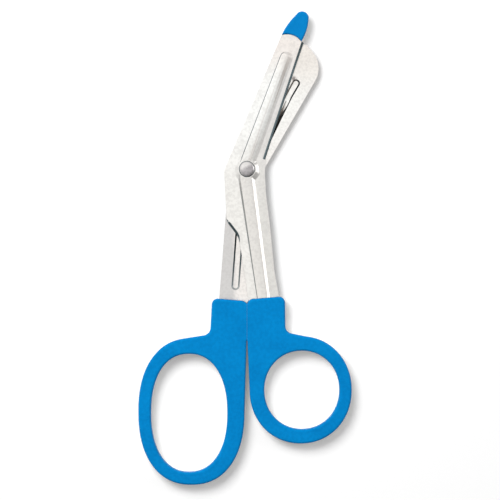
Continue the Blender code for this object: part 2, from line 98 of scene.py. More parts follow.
# %% Networks
class Network:
    """A tree of nodes."""

    def __init__(self, tree):
        self.tree = tree

    def node(self, kind, settings, sockets, output=None):
        """Adds a node and gives its named output, or else its first one that is in use."""
        made = self.tree.nodes.new("ShaderNode" + kind)
        for name, value in settings.items():
            setattr(made, name, value)
        for name, value in sockets.items():
            if isinstance(value, Flow):
                self.tree.links.new(value.socket, made.inputs[name])
            else:
                made.inputs[name].default_value = value
        shown = [socket for socket in made.outputs if socket.enabled]
        return Flow(self, made.outputs[output] if output else shown[0])

    def maths(self, operation, *values):
        return self.node("Math", {"operation": operation}, dict(enumerate(values)))

    def vectors(self, operation, first, second):
        """A number from two vectors, such as their distance. LENGTH reads only the first."""
        return self.node("VectorMath", {"operation": operation}, {0: first, 1: second}, "Value")

    def part(self, vector, axis):
        """The X, Y or Z of a vector."""
        return self.node("SeparateXYZ", {}, {"Vector": vector}, axis)

    def seen_rays(self):
        """1 for what the camera sees, straight or in metal or glass, and 0 for the rest of the light."""
        kinds = ("Camera", "Glossy", "Transmission")
        rays = [self.node("LightPath", {}, {}, "Is " + kind + " Ray") for kind in kinds]
        return rays[0] + rays[1] + rays[2]


# %% Finishes
class Finish(Network):
    """A material with one Principled shader."""

    def __init__(self, name, **constants):
        self.material = bpy.data.materials.new(name)
        self.material.use_nodes = True
        super().__init__(self.material.node_tree)
        self.shader = self.tree.nodes["Principled BSDF"]
        for socket, value in constants.items():
            self.shader.inputs[socket.replace("_", " ")].default_value = value

    def coordinates(self, kind):
        """Where a point is on its piece, with Object, or which way its surface faces, with Normal."""
        return self.node("TexCoord", {}, {}, kind)

    def place(self, turn=0.0, stretch=(1, 1, 1)):
        """Object coordinates, turned about Z by degrees and then stretched."""
        rotation = (0, 0, math.radians(turn))
        turned = self.node("Mapping", {}, {"Vector": self.coordinates("Object"), "Rotation": rotation})
        return self.node("Mapping", {}, {"Vector": turned, "Scale": stretch})

    def noise(self, place, scale, detail):
        return self.node("TexNoise", {}, {"Vector": place, "Scale": scale, "Detail": detail})

    def mix(self, share, first, second):
        """A colour between two colours. A Mix node's colour sockets go by number: 6 and 7 in, 2 out."""
        return self.node("Mix", {"data_type": "RGBA"}, {"Factor": share, 6: first, 7: second}, 2)

    def give(self, **links):
        """Links the shader's sockets."""
        for name, flow in links.items():
            self.tree.links.new(flow.socket, self.shader.inputs[name.replace("_", " ")])

    def bump(self, height, depth):
        """Surface relief, with its depth in metres."""
        self.give(Normal=self.node("Bump", {}, {"Height": height, "Distance": depth, "Strength": 1.0}))


def colour(red, green, blue):
    """A screen colour, 0 to 255, as linear light."""
    light = [c / 255 / 12.92 if c < 11 else ((c / 255 + 0.055) / 1.055) ** 2.4 for c in (red, green, blue)]
    return (*light, 1)


# %% [markdown]
# ## Satin steel
#
# The leaves are cut from rolled stainless sheet, pressed and tumbled, so they shine softly, with a
# faint grain along their length and small clouds where the tumbling bit less. Both are noise: the
# grain is noise that is drawn out along the blade, which leans by 20 degrees, and the clouds are noise
# as it comes. One material for both leaves would be simpler, but each leaf has colours of its own,
# much of them painted light and shade, which run from its tip to its shank.
#
# The tumbling doesn't reach the steep flanks of the ribs and hollows, which stay rougher and duller,
# and their colour is painted darker still as painted shade. The finish finds them by the slope of the
# surface: `level` is 1 on a flat face and 0 on a wall.

# %% Values of the leaf steel
BLADE_LEAN = 20
SOFT_NOISE = (0.3, 0.7)
MOTTLED = (0.4, 0.62)
CLOUD_SHARE = 0.08
MOTTLE_SHARE = 0.2
CLOUD_GREY = colour(188, 185, 182)
# painted light for the walls that face right
PAINTED_LIT_WALL = colour(200, 190, 182)
FACES_LEFT = (0.1, 0.3)
print("the blade leans by", BLADE_LEAN, "degrees")

# %% [markdown]
# The walls come first, in painted light and shade. On the blade, a wall that faces right is painted
# lit and one that faces left is painted in shade. On the shank the painted shade fades from the pivot
# to the handle.


# %% Colour of the walls
def wall_light_and_shade(steel, looks, along):
    leftward = 0 - steel.part(steel.coordinates("Normal"), "X")
    # painted light where a blade wall faces right, painted shade where it faces left
    on_blade = steel.mix(leftward.ramp(*FACES_LEFT), PAINTED_LIT_WALL, looks["dark_wall"])
    # painted shade on the shank's walls, fading towards the handle
    on_shank = steel.mix(along.ramp(*looks["wall_fade"]), looks["low_wall"], looks["shank_wall"])
    return steel.mix(along.ramp(*looks["wall_turn"]), on_shank, on_blade)


# %% [markdown]
# The flat faces follow. `over_blade` runs square across the blade, so it tells the rib's right flank,
# which takes painted shade broken into coarse streaks, from the two sides, which on the front leaf are
# painted lighter on the left and darker on the right. On the shank, the height of a point tells the rib,
# which takes a painted shade of its own, from the sheet round it. The blade's colours give way to the
# shank's on both sides of the pivot.

# %% Colour of the flat faces
FLANK_START = (-1.4 * MM, 0.0)
FLANK_END = (1.0 * MM, 2.0 * MM)
RIGHT_SIDE = (1.2 * MM, 2.2 * MM)
RIB_FLANK = (4.85 * MM, 5.35 * MM)
ROUND_PIVOT = (-14 * MM, 24 * MM)
STREAKED = (0.4, 0.55)


def face_colour(steel, looks, here, along, streaks):
    over_blade = steel.part(steel.place(BLADE_LEAN), "X")
    # painted shade on the rib's right flank, broken into coarse streaks
    flank_shade = over_blade.ramp(*FLANK_START) * (1 - over_blade.ramp(*FLANK_END)) * streaks.ramp(*STREAKED)
    # painted light on the left of the blade and painted shade on its right
    sides = steel.mix(over_blade.ramp(*RIGHT_SIDE), looks["blade_left"], looks["blade_right"])
    middle = steel.mix(flank_shade, sides, looks["flank"])
    blade = steel.mix(along.ramp(*looks["tip_from"]), middle, looks["tip"])
    shank = steel.mix(steel.part(here, "X").ramp(*looks["seam"]), looks["shank_left"], looks["shank_right"])
    # painted shade on the shank's rib
    shank_with_rib_shade = steel.mix(steel.part(here, "Z").ramp(*RIB_FLANK), shank, looks["rubbed"])
    return steel.mix(along.ramp(*ROUND_PIVOT), shank_with_rib_shade, blade)


# %% [markdown]
# A dark smudge is painted where the hollow of the back blade ends. The mask is the distance from a
# point, broken up by the streaks.

# %% Smudge at the end of the hollow
SMUDGE_AT = Vector((18.7, 35.8, 3.1)) * MM
SMUDGE_EDGE = (0.3 * MM, 1.5 * MM)
SMUDGE_STREAKS = (0.3, 0.55)
SMUDGE = colour(96, 82, 80)


def with_smudge(steel, shown, here, streaks, share):
    nearby = 1 - steel.vectors("DISTANCE", here, SMUDGE_AT).ramp(*SMUDGE_EDGE)
    return steel.mix(nearby * streaks.ramp(*SMUDGE_STREAKS) * share, shown, SMUDGE)


# %% [markdown]
# The whole finish puts the walls over the clouded faces, and makes dull places a little rougher. The
# grain's relief is two thousandths of a millimetre deep, enough to spread the shine across the blade.


# %% Leaf steel
def satin_steel(name, smudged=0.0, **looks):
    """Tumbled sheet with a leaf's own colours, and the places where one gives way to the next."""
    steel = Finish(name, Metallic=1.0)
    grain = steel.noise(steel.place(BLADE_LEAN, (1, 0.03, 1)), scale=2600, detail=3)
    streaks = steel.noise(steel.place(BLADE_LEAN, (1, 0.02, 1)), scale=900, detail=3)
    clouds = steel.noise(steel.place(), scale=170, detail=3)
    mottle = steel.noise(steel.place(), scale=950, detail=4)
    here = steel.coordinates("Object")
    along = steel.part(here, "Y")
    level = steel.maths("ABSOLUTE", steel.part(steel.coordinates("Normal"), "Z"))
    # the steep walls: rougher, and coloured with painted light and shade
    dull_and_shaded = 1 - level.ramp(*looks["wall_levels"])
    plain = face_colour(steel, looks, here, along, streaks)
    cloudy = clouds.ramp(*SOFT_NOISE) * CLOUD_SHARE + mottle.ramp(*MOTTLED) * MOTTLE_SHARE
    shown = steel.mix(dull_and_shaded, steel.mix(cloudy, plain, CLOUD_GREY), wall_light_and_shade(steel, looks, along))
    if smudged:
        shown = with_smudge(steel, shown, here, streaks, smudged)
    steel.give(
        Base_Color=shown,
        Roughness=0.24 + grain * 0.05 + clouds * 0.04 + mottle * 0.04 + dull_and_shaded * 0.2,
    )
    steel.bump(grain, 0.002 * MM)
    return steel


# %% [markdown]
# The front leaf is the brighter one, most of all on the left of its blade, which is painted lighter
# than its right as painted light and shade. Its shank is greyer on the right, and the painted dark line
# down the shank's left wall fades early.

# %% Steel of the front leaf
front_steel = satin_steel(
    "front_leaf_steel",
    tip=colour(245, 238, 232),
    tip_from=(34 * MM, 50 * MM),
    # painted light on the left of the blade and painted shade on its right
    blade_left=colour(255, 255, 252),
    blade_right=colour(234, 231, 228),
    # painted shade on the rib's right flank
    flank=colour(206, 199, 193),
    shank_left=colour(247, 245, 240),
    shank_right=colour(229, 227, 222),
    seam=(0, 8 * MM),
    # painted shade on the shank's rib
    rubbed=colour(234, 231, 226),
    low_wall=colour(178, 182, 182),
    # painted shade on the shank's walls
    shank_wall=colour(112, 124, 128),
    wall_fade=(-19 * MM, -10 * MM),
    # painted shade on the walls that face left
    dark_wall=colour(160, 167, 170),
    wall_turn=(0, 26 * MM),
    wall_levels=(0.58, 0.8),
)
print(front_steel.material.name, len(front_steel.tree.nodes), "nodes")

# %% [markdown]
# The back leaf's hollows lie in the front leaf's shade, so their walls are painted nearly black as
# painted shade. Its shank is painted grey on the left, as painted shade.

# %% Steel of the back leaf
back_steel = satin_steel(
    "back_leaf_steel",
    tip=colour(244, 238, 231),
    tip_from=(26 * MM, 44 * MM),
    blade_left=colour(255, 254, 250),
    blade_right=colour(255, 254, 250),
    flank=colour(255, 254, 250),
    # painted shade on the shank's left side
    shank_left=colour(217, 215, 213),
    shank_right=colour(250, 245, 240),
    seam=(-6.2 * MM, -3.6 * MM),
    rubbed=colour(217, 215, 213),
    low_wall=colour(190, 196, 196),
    # painted shade on the shank's walls
    shank_wall=colour(88, 106, 112),
    wall_fade=(-49 * MM, -32 * MM),
    # painted shadow of the front leaf on the hollows' walls
    dark_wall=colour(40, 56, 62),
    wall_turn=(0, 4 * MM),
    wall_levels=(0.7, 0.93),
    smudged=0.8,
)
print(back_steel.material.name, len(back_steel.tree.nodes), "nodes")

# %% [markdown]
# The press cuts the sheet, and its cut edge is burnished by the die: greyer than the faces and scuffed.
# It is kept only where the edge faces right, away from the lamp, so there its grey is painted shade too.

# %% Steel of the cut edge
# grey for the burnished edge, and painted shade where it faces right
edge_steel = Finish("burnished_shaded_edge_steel", Metallic=1.0)
scuffs = edge_steel.noise(edge_steel.place(), scale=1500, detail=3)
edge_steel.give(
    Base_Color=edge_steel.mix(scuffs.ramp(*SOFT_NOISE), colour(142, 146, 148), colour(164, 167, 168)),
    Roughness=0.34 + scuffs * 0.1,
)
print(edge_steel.material.name, len(edge_steel.tree.nodes), "nodes")

# %% [markdown]
# The cutting bevels are ground after the pressing. The wheel runs across the edge, so their grain does
# too. They are coloured darker than the tumbled faces, partly for the grinding and partly as painted
# shade, which draws the dark line along the cutting edge.

# %% Ground steel
ground_shaded_steel = Finish("ground_shaded_edge_steel", Metallic=1.0)
wheel_marks = ground_shaded_steel.noise(ground_shaded_steel.place(-25, (0.05, 1, 1)), scale=5200, detail=3)
ground_shaded_steel.give(
    # darker partly for the grinding and partly as painted shade along the cutting edge
    Base_Color=ground_shaded_steel.mix(wheel_marks.ramp(*SOFT_NOISE), colour(98, 116, 122), colour(128, 142, 146)),
    Roughness=0.18 + wheel_marks * 0.1,
)
ground_shaded_steel.bump(wheel_marks, 0.004 * MM)
print(ground_shaded_steel.material.name, len(ground_shaded_steel.tree.nodes), "nodes")

# %% [markdown]
# The rivet's head is softer steel. The tool that forms it leaves it greyer than the leaves and finely
# speckled. Its upper side and its rim are painted lighter as painted highlights, and the steep wall
# below the rim is painted dark as painted shade. The rim is found by the distance from the rivet's
# axis: a place with its Z stretched to nothing has just that length.

# %% Rivet steel
RIM = (2.55 * MM, 2.63 * MM)
# painted highlight on the head's upper side
HIGHLIGHT_SIDE = Vector((-0.5, 0.87, 0))
HIGHLIGHT_FROM = (0.1 * MM, 1.5 * MM)
HEAD_WALL = (0.55, 0.85)
# painted shade on the head's steep wall
SHADED_HEAD_WALL = colour(72, 92, 98)
rivet_steel = Finish("turned_rivet_steel", Metallic=1.0)
specks = rivet_steel.noise(rivet_steel.place(), scale=900, detail=3)
head_level = rivet_steel.maths("ABSOLUTE", rivet_steel.part(rivet_steel.coordinates("Normal"), "Z"))
from_axis = rivet_steel.vectors("LENGTH", rivet_steel.place(stretch=(1, 1, 0)), (0, 0, 0))
upper_left = rivet_steel.vectors("DOT_PRODUCT", rivet_steel.place(), HIGHLIGHT_SIDE)
# painted highlight on the head's upper side
painted_highlight = upper_left.ramp(*HIGHLIGHT_FROM) * (0.55 + specks * 0.5)
formed = rivet_steel.mix(specks.ramp(*SOFT_NOISE), colour(168, 164, 165), colour(196, 192, 193))
highlighted = rivet_steel.mix(painted_highlight, formed, colour(236, 233, 230))
# painted highlight on the rim
rim_highlighted = rivet_steel.mix(from_axis.ramp(*RIM), highlighted, colour(212, 209, 208))
rivet_steel.give(
    # painted shade on the head's steep wall
    Base_Color=rivet_steel.mix(head_level.ramp(*HEAD_WALL), SHADED_HEAD_WALL, rim_highlighted),
    Roughness=0.26 + specks * 0.12,
)
rivet_steel.bump(specks, 0.006 * MM)
print(rivet_steel.material.name, len(rivet_steel.tree.nodes), "nodes")

# %% [markdown]
# ## Moulded plastic
#
# The handles are injection moulded in a bright blue with a fine satin grain, which the mould's
# surface leaves. The guard is a softer plastic in nearly the same blue. A plain blue would look like
# paint, so two blues are mixed by wide clouds and by fine speckle.
#
# The photograph's shadows are grey right beside the rings. So the plastic is blue where it is seen,
# and pale grey to the light that it passes on to the paper.

# %% Handle and guard plastic
BOUNCE = colour(226, 226, 226)
SPECKLED = (0.35, 0.65)


def moulded(name, deep, bright, roughness):
    """Satin plastic between a deep and a bright blue."""
    made = Finish(name, Specular_IOR_Level=0.06)
    clouds = made.noise(made.place(), scale=90, detail=2)
    speckle = made.noise(made.place(), scale=800, detail=3)
    grain = made.noise(made.place(), scale=2400, detail=2)
    shown = made.mix(clouds.ramp(*SOFT_NOISE) * 0.5 + speckle.ramp(*SPECKLED) * 0.5, deep, bright)
    made.give(
        Base_Color=made.mix(made.seen_rays(), BOUNCE, shown),
        Roughness=roughness + clouds * 0.1 + grain * 0.05,
    )
    made.bump(grain, 0.012 * MM)
    print(name, len(made.tree.nodes), "nodes")
    return made


handle_plastic = moulded("handle_plastic", colour(0, 125, 194), colour(2, 139, 210), 0.4)
guard_plastic = moulded("guard_plastic", colour(4, 124, 193), colour(8, 131, 201), 0.34)

# %% [markdown]
# ## Making pieces
#
# A finished piece keeps its place in its mesh, as a CAD node does. These helpers deselect everything
# before an operator runs, and copy a node's shape as the blank that a piece is worked from. The copy's
# loose triangles are merged first, and then joined again into flat faces.

# %% Helpers for pieces
MERGE = 0.001 * MM
FLAT_TURN = math.radians(0.4)


def select_none():
    if bpy.context.object and bpy.context.object.mode != "OBJECT":
        bpy.ops.object.mode_set(mode="OBJECT")
    bpy.ops.object.select_all(action="DESELECT")


def take(piece):
    """Makes one piece selected and active."""
    select_none()
    piece.select_set(True)
    bpy.context.view_layer.objects.active = piece


def blank_from(node_name, piece_name):
    """A copy of a CAD node's shape with its triangles merged and its flat faces whole."""
    piece = bpy.data.objects.new(piece_name, nodes[node_name].data.copy())
    bpy.context.scene.collection.objects.link(piece)
    take(piece)
    bpy.ops.object.mode_set(mode="EDIT")
    bpy.ops.mesh.select_all(action="SELECT")
    bpy.ops.mesh.remove_doubles(threshold=MERGE)
    bpy.ops.mesh.dissolve_limited(angle_limit=FLAT_TURN)
    bpy.ops.mesh.customdata_custom_splitnormals_clear()
    bpy.ops.object.mode_set(mode="OBJECT")
    piece.data.materials.clear()
    return piece


def add_modifier(piece, kind, **settings):
    """Adds a modifier, sets it and applies it."""
    take(piece)
    made = piece.modifiers.new(kind.lower(), kind)
    for name, value in settings.items():
        setattr(made, name, value)
    bpy.ops.object.modifier_apply(modifier=made.name)


def paint(piece, *finishes):
    for finish in finishes:
        piece.data.materials.append(finish.material)


# %% [markdown]
# ## Cuts and pushes
#
# Most of the shaping takes two steps: a bisect cuts some faces along a plane, and a move pushes some
# of the new vertices. Both choose by a test on a face or a vertex, such as its place or normal. Faces
# and vertices are chosen in object mode, where Python can set them, and worked on in edit mode.

# %% Helpers for cuts and pushes
NEAR = 0.02 * MM
LEVEL = 0.99


def select_where(parts, wanted):
    """Selects the faces or the vertices that pass a test, in object mode, and counts them."""
    found = 0
    for part in parts:
        part.select = wanted(part)
        found += part.select
    return found


def clear_in(piece, kind):
    """Takes a piece into edit mode with nothing selected, and back."""
    take(piece)
    bpy.ops.object.mode_set(mode="EDIT")
    bpy.ops.mesh.select_mode(type=kind)
    bpy.ops.mesh.select_all(action="DESELECT")
    bpy.ops.object.mode_set(mode="OBJECT")


def cut(piece, wanted, place, normal):
    """Cuts the faces that pass a test along a plane."""
    clear_in(piece, "FACE")
    select_where(piece.data.polygons, wanted)
    bpy.ops.object.mode_set(mode="EDIT")
    bpy.ops.mesh.bisect(plane_co=place, plane_no=normal, threshold=MERGE)
    bpy.ops.object.mode_set(mode="OBJECT")


def push(piece, wanted, offset):
    """Moves the vertices that pass a test."""
    clear_in(piece, "VERT")
    found = select_where(piece.data.vertices, wanted)
    bpy.ops.object.mode_set(mode="EDIT")
    bpy.ops.transform.translate(value=offset)
    bpy.ops.object.mode_set(mode="OBJECT")
    return found


# %% [markdown]
# ## The back leaf's hollows
#
# The press tool leaves a crease down the floor of the blade's hollow, deep near the pivot and fading
# towards the end. The floor is cut across near the end of the crease and a little before it, and then
# along two lines. Sinking the first line, all but its end, makes a groove with two slopes.

# %% Crease in the blade's hollow
CREASE_START = Vector((2.2, 1.6, 2.4)) * MM
CREASE_END = Vector((15.7, 27.03, 2.4)) * MM
CREASE_FADE = 3.6 * MM
CREASE_WIDTH = 0.26 * MM
CREASE_DEPTH = 0.42 * MM
CREASE_ALONG = (CREASE_END - CREASE_START).normalized()
CREASE_ACROSS = Vector((CREASE_ALONG.y, -CREASE_ALONG.x, 0))
END_KEPT = 0.1 * MM
FLOOR_SLACK = 0.05 * MM


def press_crease(leaf):
    """Cuts the floor of the hollow across and then along, and sinks the first long cut but for its end."""
    reach = (CREASE_END - CREASE_START).length - END_KEPT

    def on_floor(face):
        at_depth = abs(face.center.z - CREASE_START.z) < FLOOR_SLACK
        return at_depth and face.normal.z > LEVEL and face.center.y > 0

    def on_line(vertex):
        here = vertex.co - CREASE_START
        in_line = abs(here.dot(CREASE_ACROSS)) < NEAR and abs(here.z) < NEAR
        return in_line and 0 < here.dot(CREASE_ALONG) < reach

    cut(leaf, on_floor, CREASE_END, CREASE_ALONG)
    cut(leaf, on_floor, CREASE_END - CREASE_ALONG * CREASE_FADE, CREASE_ALONG)
    cut(leaf, on_floor, CREASE_START, CREASE_ACROSS)
    cut(leaf, on_floor, CREASE_START - CREASE_ACROSS * CREASE_WIDTH, CREASE_ACROSS)
    print("crease vertices", push(leaf, on_line, (0, 0, -CREASE_DEPTH)))


# %% [markdown]
# The same hollow's right wall isn't quite straight on the real one. It is cut at three places along the
# crease, and the wall's vertices there are pushed across, each by its own fraction of a millimetre.

# %% Right wall of the blade's hollow
WALL_MOVES = ((12.3 * MM, 0.3 * MM), (24 * MM, -0.3 * MM), (31 * MM, -0.24 * MM))
WALL_FROM = 0.7 * MM
WALL_TO = 1.8 * MM
PAST_PIVOT = 2 * MM


def bend_wall(leaf):
    moved = 0
    for reach, offset in WALL_MOVES:
        middle = CREASE_START + CREASE_ALONG * reach
        cut(leaf, lambda face: face.center.y > PAST_PIVOT, middle, CREASE_ALONG)

        def on_wall(vertex):
            here = vertex.co - middle
            in_plane = abs(here.dot(CREASE_ALONG)) < NEAR
            return in_plane and WALL_FROM < here.dot(CREASE_ACROSS) < WALL_TO and here.z > -FLOOR_SLACK

        moved += push(leaf, on_wall, CREASE_ACROSS * offset)
    print("hollow wall vertices", moved)


# %% [markdown]
# The shank's hollow ends in a round, just before the tang. A cone is the right cutter for it: wide at
# the face of the sheet and narrow at the floor of the hollow, as the tool's own nose is.

# %% Round end of the shank's hollow
HOLLOW_END = Vector((-4.55, -46.2, 0)) * MM
CONE_HEIGHT = 2.82 * MM
CONE_DEPTH = 0.82 * MM
FLOOR_RADIUS = 0.98 * MM
FACE_RADIUS = 1.72 * MM


def open_hollow_end(leaf):
    select_none()
    bpy.ops.mesh.primitive_cone_add(
        vertices=48,
        radius1=FLOOR_RADIUS,
        radius2=FACE_RADIUS,
        depth=CONE_DEPTH,
        location=HOLLOW_END + Vector((0, 0, CONE_HEIGHT)),
    )
    cone = bpy.context.object
    add_modifier(leaf, "BOOLEAN", object=cone, operation="DIFFERENCE", solver="EXACT")
    bpy.data.objects.remove(cone)
    print("hollow end opened,", len(leaf.data.polygons), "faces")


# %% [markdown]
# ## The front leaf's rib, shank and boss
#
# The blade's rib widens a little to the left: its foot is moved at a cut near the pivot and at its
# round end, and the long faces between them follow.

# %% Left foot of the blade's rib
BLADE_ALONG = Vector((0.333, 0.943, 0)).normalized()
BLADE_ACROSS = Vector((BLADE_ALONG.y, -BLADE_ALONG.x, 0))
FLAT = 4.7 * MM
LOW_CUT = BLADE_ALONG * 9.5 * MM
FOOT_AT_CUT = (-4.6 * MM, -1.6 * MM)
FOOT_AT_END = (-4.6 * MM, -0.2 * MM)
RIB_END = (43.5 * MM, 47 * MM)
RIB_END_MOVE = Vector((-0.42, 0.1, 0)) * MM
RIB_CUT_MOVE = Vector((-0.1, 0, 0)) * MM


def move_rib_line(leaf):
    """Moves the left foot of the blade's rib outwards, at its round end and at a cut near the pivot."""
    cut(leaf, lambda face: True, LOW_CUT, BLADE_ALONG)

    def at_cut(vertex):
        in_plane = abs(vertex.co.dot(BLADE_ALONG) - LOW_CUT.length) < NEAR
        on_foot = FOOT_AT_CUT[0] < vertex.co.dot(BLADE_ACROSS) < FOOT_AT_CUT[1]
        return in_plane and on_foot and vertex.co.z > FLAT

    def at_end(vertex):
        on_foot = FOOT_AT_END[0] < vertex.co.dot(BLADE_ACROSS) < FOOT_AT_END[1]
        return RIB_END[0] < vertex.co.y < RIB_END[1] and on_foot and vertex.co.z > FLAT

    print("rib vertices", push(leaf, at_cut, RIB_CUT_MOVE), push(leaf, at_end, RIB_END_MOVE))


# %% [markdown]
# The shank's right outline is a straight line in the CAD model and slightly waisted on the real leaf.
# Three level cuts give it vertices between its ends, and each is drawn in.

# %% Right outline of the shank
SHANK_TOP = Vector((7.15, -3.08, 0)) * MM
SHANK_END = Vector((12.65, -50.4, 0)) * MM
SHANK_MOVES = ((-10 * MM, -0.42 * MM), (-22 * MM, -0.6 * MM), (-40 * MM, -0.52 * MM))
OUTLINE_REACH = 0.2 * MM


def draw_in_shank(leaf):
    moved = 0
    for height, offset in SHANK_MOVES:
        cut(leaf, lambda face: True, Vector((0, height, 0)), Vector((0, 1, 0)))
        share = (height - SHANK_TOP.y) / (SHANK_END.y - SHANK_TOP.y)
        outline = SHANK_TOP.x + share * (SHANK_END.x - SHANK_TOP.x)

        def on_outline(vertex):
            return abs(vertex.co.y - height) < NEAR and abs(vertex.co.x - outline) < OUTLINE_REACH

        moved += push(leaf, on_outline, (offset, 0, 0))
    print("shank vertices", moved)


# %% [markdown]
# The boss round the rivet falls away steeply towards the blade and gently towards the shank, where
# the sheet had room to stretch. So the lower half of its foot is scaled out from the rivet's axis.

# %% Lower foot of the boss
BOSS_SPREAD = 1.13
BOSS_LOWER = -0.9 * MM
FOOT_RING = (4.5 * MM, 4.97 * MM)
FOOT_TOP = 4.88 * MM


def spread_boss(leaf):
    clear_in(leaf, "VERT")

    def on_foot(vertex):
        reach = math.hypot(vertex.co.x, vertex.co.y)
        in_ring = FOOT_RING[0] < reach < FOOT_RING[1]
        return in_ring and FLAT < vertex.co.z < FOOT_TOP and vertex.co.y < BOSS_LOWER

    print("boss vertices", select_where(leaf.data.vertices, on_foot))
    bpy.ops.object.mode_set(mode="EDIT")
    bpy.ops.transform.resize(value=(BOSS_SPREAD, BOSS_SPREAD, 1), center_override=(0, 0, 0))
    bpy.ops.object.mode_set(mode="OBJECT")


# %% [markdown]
# ## The two leaves
#
# Each leaf is one stamping. The press leaves no sharp corner on it: its outline gets a round that shows
# as a thin line beside the edge, and the ribs and hollows a finer one. A Bevel modifier does both, told
# apart by how much an edge turns. Weighted normals then keep the flat faces flat to the light.
#
# The ground bevels are the slopes that lie below the flat of the leaf's outer side, and take the second
# finish. That flat is half the gap and one sheet away from the plane between the leaves. The outline's
# round takes the third finish, grey with painted shade, where it faces right, away from the lamp.
# Elsewhere it is as bright as the faces, and takes theirs.

# %% Making a leaf
OUTLINE_TURN = 80
OUTLINE_STEPS = 3
PRESSED_TURN = 38
PRESSED_ROUND = 0.07 * MM
PRESSED_STEPS = 2
OWN_FINISH = -1
SHARP_TURN = math.radians(40)
BETWEEN_LEAVES = 3.2 * MM
TO_FLAT = 1.55 * MM
GROUND_LEVELS = (0.7, 0.88)
EDGE_SIDE = 0.1
FACES, GROUND, EDGE = 0, 1, 2


def round_edges(piece, width, segments, angle, finish_index):
    """Rounds every edge that turns by more than this many degrees."""
    add_modifier(
        piece, "BEVEL", width=width, segments=segments, limit_method="ANGLE", material=finish_index,
        angle_limit=math.radians(angle), use_clamp_overlap=True, miter_outer="MITER_ARC",
    )


def share_out_finishes(leaf, outer_side):
    """Gives each face its finish, and counts the ground ones."""
    flat = outer_side * (BETWEEN_LEAVES + outer_side * TO_FLAT)
    ground = 0
    for face in leaf.data.polygons:
        # the cut edge's grey, with its painted shade, stays only where the round faces right
        if face.material_index == EDGE and face.normal.x < EDGE_SIDE:
            face.material_index = FACES
        level = outer_side * face.normal.z
        if GROUND_LEVELS[0] < level < GROUND_LEVELS[1] and outer_side * face.center.z < flat:
            face.material_index = GROUND
            ground += 1
    return ground


def make_leaf(node_name, piece_name, body, outer_side, outline_round, steel, corrections):
    leaf = blank_from(node_name, piece_name)
    for correct in corrections:
        correct(leaf)
    paint(leaf, steel, ground_shaded_steel, edge_steel)
    round_edges(leaf, outline_round, OUTLINE_STEPS, OUTLINE_TURN, EDGE)
    round_edges(leaf, PRESSED_ROUND, PRESSED_STEPS, PRESSED_TURN, OWN_FINISH)
    take(leaf)
    bpy.ops.object.shade_smooth_by_angle(angle=SHARP_TURN)
    add_modifier(leaf, "WEIGHTED_NORMAL", keep_sharp=True, weight=80)
    ground = share_out_finishes(leaf, outer_side)
    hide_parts(node_name)
    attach(leaf, body)
    low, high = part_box(node_name)
    thickness = round((high.z - low.z) / MM, 2)
    print(piece_name, len(leaf.data.polygons), "faces,", ground, "ground,", thickness, "mm over its ribs")


# %% [markdown]
# The back leaf's outer side is the one that faces down, so its slopes are looked for from below.

# %% Leaves
make_leaf(
    "back_leaf", "back_leaf_stamping", "back_half", -1, 0.12 * MM, back_steel,
    (press_crease, bend_wall, open_hollow_end),
)
make_leaf(
    "front_leaf", "front_leaf_stamping", "front_half", 1, 0.3 * MM, front_steel,
    (spread_boss, move_rib_line, draw_in_shank),
)

# %% [markdown]
# ## The rivet
#
# The rivet's front head is formed by a spinning tool into a low dome with a rim, over a shaft that
# fills the hole, and the rear head is pressed flat. It could be spun from a profile. Here it is worked
# from a round bar, as the real one is: each end is extruded and widened into a head, and each ring of
# a head is an inset of the one before, lifted a little less each time.

# %% Helpers for the rivet
def ring_face(height):
    """Selects the flat faces at this height, in edit mode."""

    def at_height(face):
        return abs(face.center.z - height) < NEAR and abs(face.normal.z) > LEVEL

    bpy.ops.mesh.select_all(action="DESELECT")
    bpy.ops.object.mode_set(mode="OBJECT")
    select_where(bpy.context.object.data.polygons, at_height)
    bpy.ops.object.mode_set(mode="EDIT")


def raise_face(lift):
    """Extrudes the selected face by this much along Z."""
    bpy.ops.mesh.extrude_region_move(TRANSFORM_OT_translate={"value": (0, 0, lift)})


def step_in(inset, lift):
    """Insets the selected face and moves what is inside it along Z."""
    bpy.ops.mesh.inset(thickness=inset, depth=0)
    bpy.ops.transform.translate(value=(0, 0, lift))


# %% [markdown]
# The steps of a head are pairs: how far the ring is inset, in millimetres, and how far it is lifted.
# The front head's lifts are shares of the dome's height, and the rear head's are millimetres.

# %% Rivet
rivet_low, rivet_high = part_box("pivot_rivet")
HEAD = (rivet_high.x - rivet_low.x) / 2
SHAFT = 1.95 * MM
FRONT_SEAT = rivet_high.z - 1.15 * MM
REAR_SEAT = 0.75 * MM
FRONT_WALL = 0.25 * MM
REAR_WALL = 0.45 * MM
FRONT_STEPS = ((0.17, 0.26), (0.25, 0.21), (0.35, 0.19), (0.45, 0.16), (0.5, 0.11), (0.5, 0.05), (0.4, 0.02))
REAR_STEPS = ((0.12, 0.18), (0.2, 0.12))
RIVET_TURN = math.radians(38)
dome = rivet_high.z - FRONT_SEAT - FRONT_WALL
select_none()
bpy.ops.mesh.primitive_cylinder_add(
    vertices=64, radius=SHAFT, depth=FRONT_SEAT - REAR_SEAT, location=(0, 0, (FRONT_SEAT + REAR_SEAT) / 2)
)
rivet = bpy.context.object
rivet.name = "pivot_rivet_formed"
bpy.ops.object.transform_apply(location=True)
bpy.ops.object.mode_set(mode="EDIT")
bpy.ops.mesh.select_mode(type="FACE")
heads = ((FRONT_SEAT, FRONT_WALL, FRONT_STEPS, dome), (REAR_SEAT, -REAR_WALL, REAR_STEPS, -MM))
for seat, wall, steps, unit in heads:
    ring_face(seat)
    raise_face(0)
    bpy.ops.transform.resize(value=(HEAD / SHAFT, HEAD / SHAFT, 1))
    raise_face(wall)
    for inset, lift in steps:
        step_in(inset * MM, lift * unit)
bpy.ops.mesh.select_all(action="SELECT")
bpy.ops.mesh.normals_make_consistent(inside=False)
